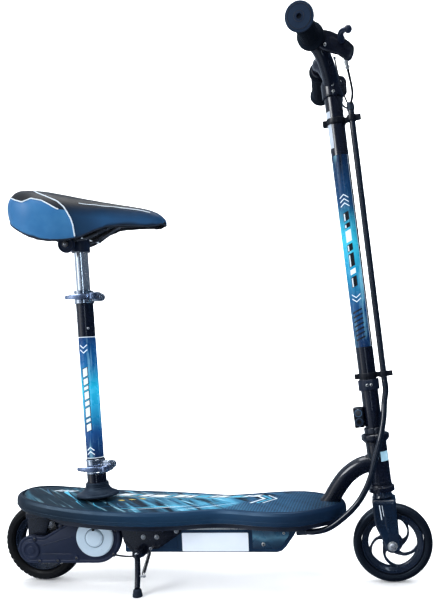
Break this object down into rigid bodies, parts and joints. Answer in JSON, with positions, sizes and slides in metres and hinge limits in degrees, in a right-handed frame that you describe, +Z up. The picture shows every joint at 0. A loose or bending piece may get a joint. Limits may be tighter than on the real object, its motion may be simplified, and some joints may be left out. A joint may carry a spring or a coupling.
{
  "type": "electric scooter",
  "caption": "Seated electric scooter: foot board with battery box, quick-release saddle post, twist throttle, lever brake, chain drive and kickstand.",
  "frame": {"origin": "on the ground under the middle of the bounding box, the scooter upright on both wheels", "axes": "+X forward, +Z up, +Y towards the rider's left hand"},
  "size_m": [0.8248, 0.3503, 0.9715],
  "materials": {
    "gloss_black_paint": "gloss black paint",
    "satin_black_paint": "satin black paint",
    "black_rubber": "matte moulded rubber",
    "tyre_rubber": "matte",
    "navy_plastic": "fine-textured",
    "black_plastic": "satin",
    "silver_plastic": "silver-grey satin",
    "chrome": "polished",
    "bright_steel": "zinc-plated",
    "printed_panel": "printed, clear-coated",
    "seat_vinyl": "satin vinyl with piping",
    "battery_case": "matte",
    "cast_aluminium": "satin"
  },
  "bodies": {
    "chassis": {"main_frame": "gloss_black_paint", "deck_pan": "satin_black_paint", "deck_panel": "printed_panel", "deck_bumper": "black_rubber", "battery_box": "satin_black_paint", "battery_pack": "battery_case", "speed_controller": "cast_aluminium", "drive_cover": "navy_plastic", "cover_cap": "silver_plastic", "drive_motor": "bright_steel", "drive_chain": "bright_steel", "rear_axle": "bright_steel", "brake_band_cup": "satin_black_paint", "brake_cable_rear": "black_rubber", "seat_socket": "gloss_black_paint", "seat_socket_boot": "black_rubber", "lower_post_clamp": "chrome", "kickstand_bracket": "gloss_black_paint", "kickstand_spring": "bright_steel", "headset_lower_cup": "gloss_black_paint", "headset_upper_cup": "gloss_black_paint", "cable_sleeve_lower": "black_rubber"},
    "steering": {"fork": "gloss_black_paint", "stem_tube": "gloss_black_paint", "steering_nut": "gloss_black_paint", "cable_clip_upper": "black_plastic", "cable_clip_lower": "black_plastic", "cable_sleeve_upper": "black_rubber", "brake_cable": "black_rubber", "control_harness": "black_rubber", "switch_box": "black_plastic", "charge_socket": "bright_steel", "handlebar": "gloss_black_paint", "brake_perch": "black_plastic", "throttle_housing": "black_plastic", "grip_right": "black_rubber", "front_axle": "bright_steel"},
    "front_wheel": {"front_rim": "gloss_black_paint", "front_tyre": "tyre_rubber"},
    "rear_wheel": {"rear_rim": "gloss_black_paint", "rear_tyre": "tyre_rubber", "rear_chain_wheel": "bright_steel", "brake_drum": "bright_steel"},
    "reduction_gear": {"drive_gear": "bright_steel"},
    "pinion": {"motor_pinion": "bright_steel"},
    "lever": {"brake_lever": "gloss_black_paint"},
    "band_arm": {"brake_arm": "bright_steel"},
    "throttle": {"throttle_grip": "black_rubber"},
    "button": {"power_button": "black_plastic"},
    "kickstand": {"kickstand_leg": "gloss_black_paint", "kickstand_foot": "black_rubber"},
    "seat_mast": {"seat_tube": "gloss_black_paint", "upper_post_clamp": "chrome"},
    "seat": {"seat_post": "chrome", "seat_clamp": "black_plastic", "seat_rails": "bright_steel", "seat_shell": "black_plastic", "seat_cushion": "seat_vinyl"},
    "upper_lever": {"upper_clamp_lever": "chrome"},
    "lower_lever": {"lower_clamp_lever": "chrome"}
  },
  "joints": [
    {"name": "steering", "type": "hinge", "parent": "chassis", "child": "steering", "pos_m": [0.32405, 0, 0.1669], "axis": [-0.0889, 0, 0.996], "range_deg": [-50, 50], "deforming": ["cable_sleeve_lower"]},
    {"name": "front_wheel_spin", "type": "hinge", "parent": "steering", "child": "front_wheel", "pos_m": [0.34, 0, 0.072], "axis": [0, 1, 0], "continuous": true},
    {"name": "rear_wheel_spin", "type": "hinge", "parent": "chassis", "child": "rear_wheel", "pos_m": [-0.3354, 0, 0.07658], "axis": [0, 1, 0], "continuous": true},
    {"name": "reduction_gear_spin", "type": "hinge", "parent": "chassis", "child": "reduction_gear", "pos_m": [-0.236, -0.033, 0.084], "axis": [0, 1, 0], "continuous": true},
    {"name": "pinion_spin", "type": "hinge", "parent": "chassis", "child": "pinion", "pos_m": [-0.209, -0.033, 0.0957], "axis": [0, 1, 0], "continuous": true},
    {"name": "brake_lever_pull", "type": "hinge", "parent": "steering", "child": "lever", "pos_m": [0.284, -0.0692, 0.938], "axis": [0, 0, -1], "range_deg": [0, 20], "stiffness_Nm_per_rad": 0.6, "springref_deg": -14.32},
    {"name": "brake_arm_pull", "type": "hinge", "parent": "chassis", "child": "band_arm", "pos_m": [-0.305, 0.0395, 0.118], "axis": [0, -1, 0], "range_deg": [0, 12], "deforming": ["brake_cable_rear"]},
    {"name": "throttle_twist", "type": "hinge", "parent": "steering", "child": "throttle", "pos_m": [0.2342, 0.06, 0.951], "axis": [0.08, -0.991, 0.1073], "range_deg": [0, 60], "stiffness_Nm_per_rad": 0.15, "springref_deg": -20.05},
    {"name": "power_button_press", "type": "slide", "parent": "steering", "child": "button", "axis": [0, 1, 0], "range_m": [0, 0.0015], "stiffness_N_per_m": 250, "springref_m": -0.001},
    {"name": "kickstand_fold", "type": "hinge", "parent": "chassis", "child": "kickstand", "pos_m": [-0.1215, -0.0681, 0.07], "axis": [0, 1, 0], "range_deg": [0, 85], "deforming": ["kickstand_spring"]},
    {"name": "seat_tube_slide", "type": "slide", "parent": "chassis", "child": "seat_mast", "axis": [-0.0126, 0, 0.9999], "range_m": [0, 0.055]},
    {"name": "seat_post_slide", "type": "slide", "parent": "seat_mast", "child": "seat", "axis": [-0.0126, 0, 0.9999], "range_m": [-0.06, 0.09]},
    {"name": "upper_lever_open", "type": "hinge", "parent": "seat_mast", "child": "upper_lever", "pos_m": [-0.19914, -0.0195, 0.54581], "axis": [-0.0126, 0, 0.9999], "range_deg": [0, 140]},
    {"name": "lower_lever_open", "type": "hinge", "parent": "chassis", "child": "lower_lever", "pos_m": [-0.19504, -0.0195, 0.21933], "axis": [-0.0126, 0, 0.9999], "range_deg": [0, 140]}
  ],
  "couplings": [
    {"joint": "reduction_gear_spin", "follows": "rear_wheel_spin", "ratio": 2.2222},
    {"joint": "pinion_spin", "follows": "rear_wheel_spin", "ratio": -5.5556},
    {"joint": "brake_arm_pull", "follows": "brake_lever_pull", "ratio": 0.6}
  ]
}
